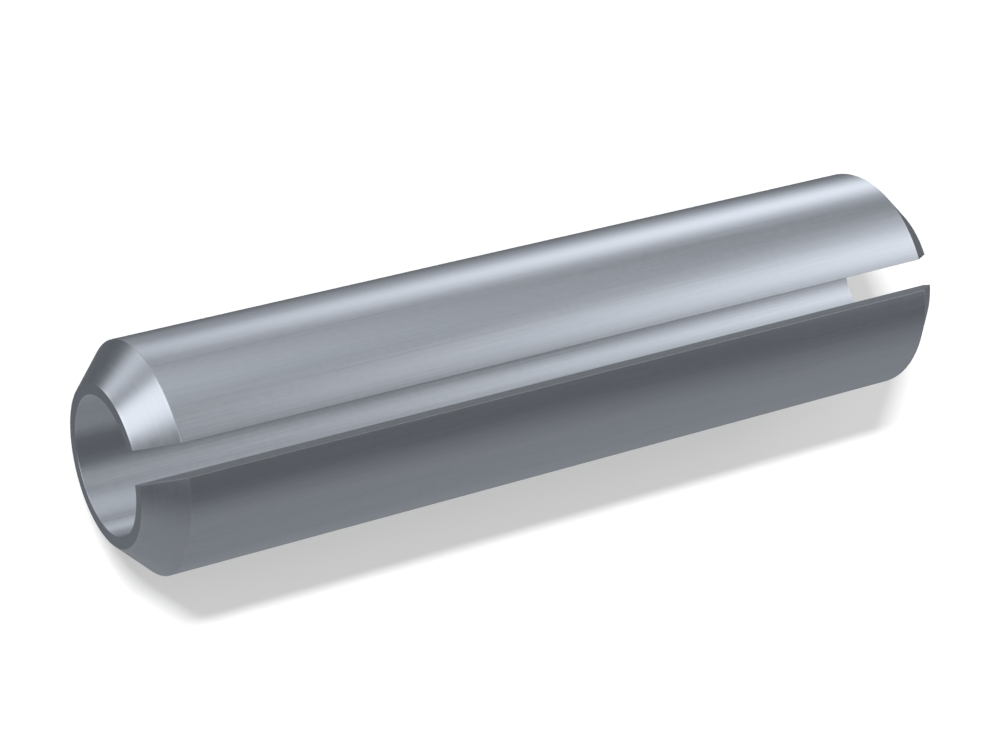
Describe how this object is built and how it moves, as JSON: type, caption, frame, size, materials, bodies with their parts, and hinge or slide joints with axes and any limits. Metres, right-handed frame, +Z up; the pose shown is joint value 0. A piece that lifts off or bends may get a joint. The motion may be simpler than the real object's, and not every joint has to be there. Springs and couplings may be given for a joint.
{
  "type": "slotted spring pin",
  "caption": "Slotted spring roll pin: heavy-wall tube rolled from steel strip, open along its length, with a conical lead-in at both ends.",
  "frame": {"origin": "on the pin's axis at mid length", "axes": "+X along the axis, +Z straight up through the open slot, so the pin lies on its closed back with the slot on top"},
  "size_m": [0.08, 0.02, 0.0199],
  "materials": {
    "spring_steel": "satin"
  },
  "bodies": {
    "root": {"spring_pin": "spring_steel"}
  },
  "joints": []
}
